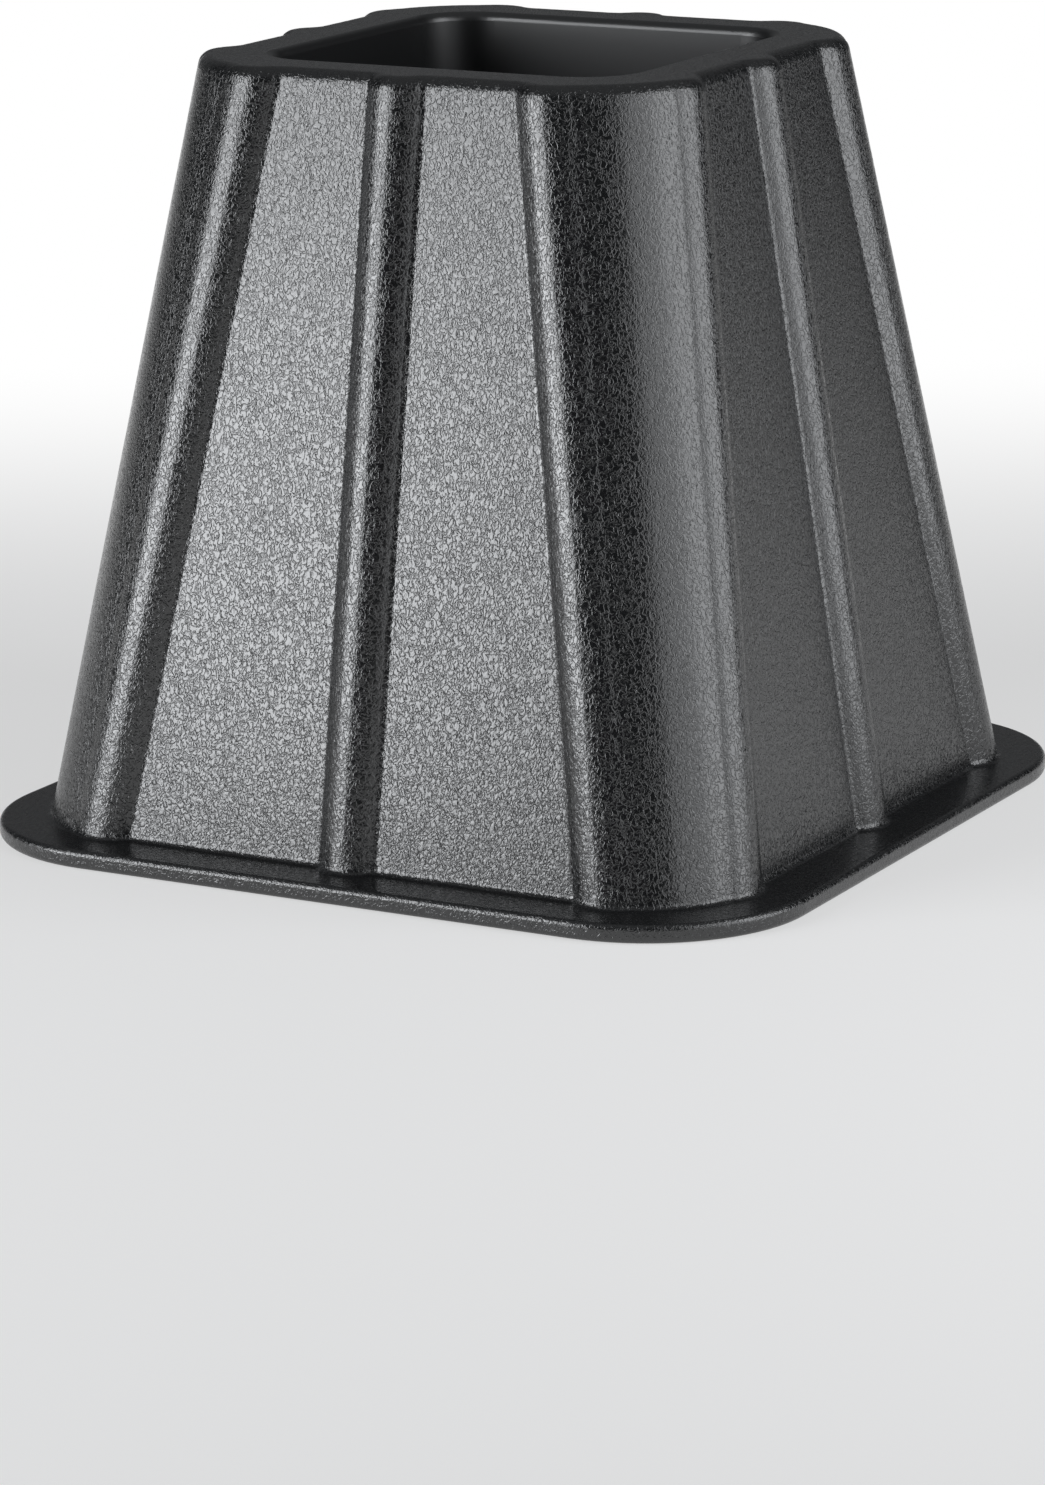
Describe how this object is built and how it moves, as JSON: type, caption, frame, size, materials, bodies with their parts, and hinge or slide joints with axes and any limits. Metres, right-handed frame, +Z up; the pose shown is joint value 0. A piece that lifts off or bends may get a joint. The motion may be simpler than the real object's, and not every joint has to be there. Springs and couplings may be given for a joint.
{
  "type": "bed riser",
  "caption": "Tapered square bed riser moulded in one piece, ribbed on every side, with a broad foot flange, a square recess in its top for a bed leg and a hollow underside.",
  "frame": {"origin": "centre of the base, on the plane the riser stands on", "axes": "+Z up through the middle of the leg recess, X and Y square to the flat sides"},
  "size_m": [0.178, 0.178, 0.157],
  "materials": {
    "riser_plastic": "moulded leather grain outside, smooth inside the recess"
  },
  "bodies": {
    "root": {"riser": "riser_plastic"}
  },
  "joints": []
}
